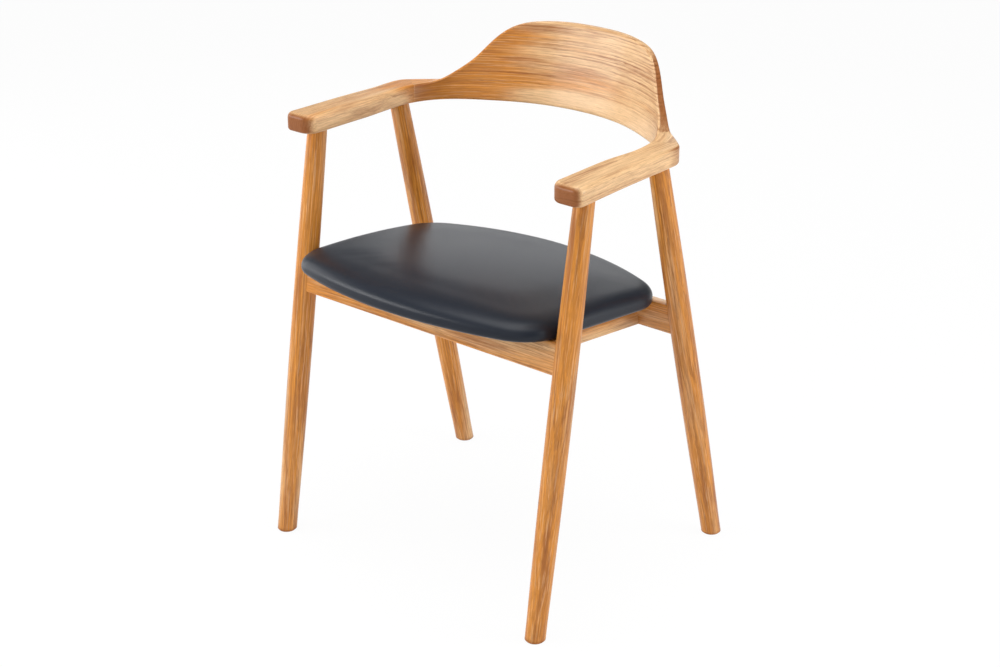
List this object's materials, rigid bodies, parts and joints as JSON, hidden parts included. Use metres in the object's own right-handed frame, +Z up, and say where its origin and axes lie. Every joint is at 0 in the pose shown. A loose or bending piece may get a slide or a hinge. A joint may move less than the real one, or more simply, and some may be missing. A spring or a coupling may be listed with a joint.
{
  "type": "armchair",
  "caption": "Wooden armchair with splayed turned legs, flat arms running into a curved solid backrest, and a crowned leather seat on a rail frame.",
  "frame": {"origin": "on the floor under the middle of the chair", "axes": "+Z up, +X to the right as seen from the front, the sitter faces -Y"},
  "size_m": [0.552, 0.4791, 0.758],
  "materials": {
    "oak_legs": "satin oiled oak, grain along the leg",
    "oak_arms": "satin oiled oak, grain along the arm",
    "oak_back": "satin oiled oak, level grain across the back",
    "oak_rails": "satin oiled oak, grain along the rail",
    "block_wood": "plain sawn beech",
    "dowel_wood": "plain beech dowel",
    "screw_steel": "zinc-plated steel",
    "staple_steel": "bright steel wire",
    "plywood": "birch plywood",
    "foam": "upholstery foam",
    "seat_leather": "smooth satin leather",
    "dust_cloth": "thin non-woven cloth"
  },
  "bodies": {
    "root": {"front_leg_left": "oak_legs", "front_leg_right": "oak_legs", "rear_leg_left": "oak_legs", "rear_leg_right": "oak_legs", "armrest_left": "oak_arms", "armrest_right": "oak_arms", "backrest": "oak_back", "front_rail": "oak_rails", "rear_rail": "oak_rails", "side_rail_left": "oak_rails", "side_rail_right": "oak_rails", "corner_block_front_left": "block_wood", "corner_block_front_right": "block_wood", "corner_block_rear_left": "block_wood", "corner_block_rear_right": "block_wood", "back_joint_dowels_left": "dowel_wood", "back_joint_dowels_right": "dowel_wood", "side_rail_dowels_left": "dowel_wood", "side_rail_dowels_right": "dowel_wood", "corner_block_screws": "screw_steel", "seat_board": "plywood", "seat_foam": "foam", "seat_cover": "seat_leather", "dust_cover": "dust_cloth", "cover_staples": "staple_steel", "seat_screws": "screw_steel"}
  },
  "joints": []
}
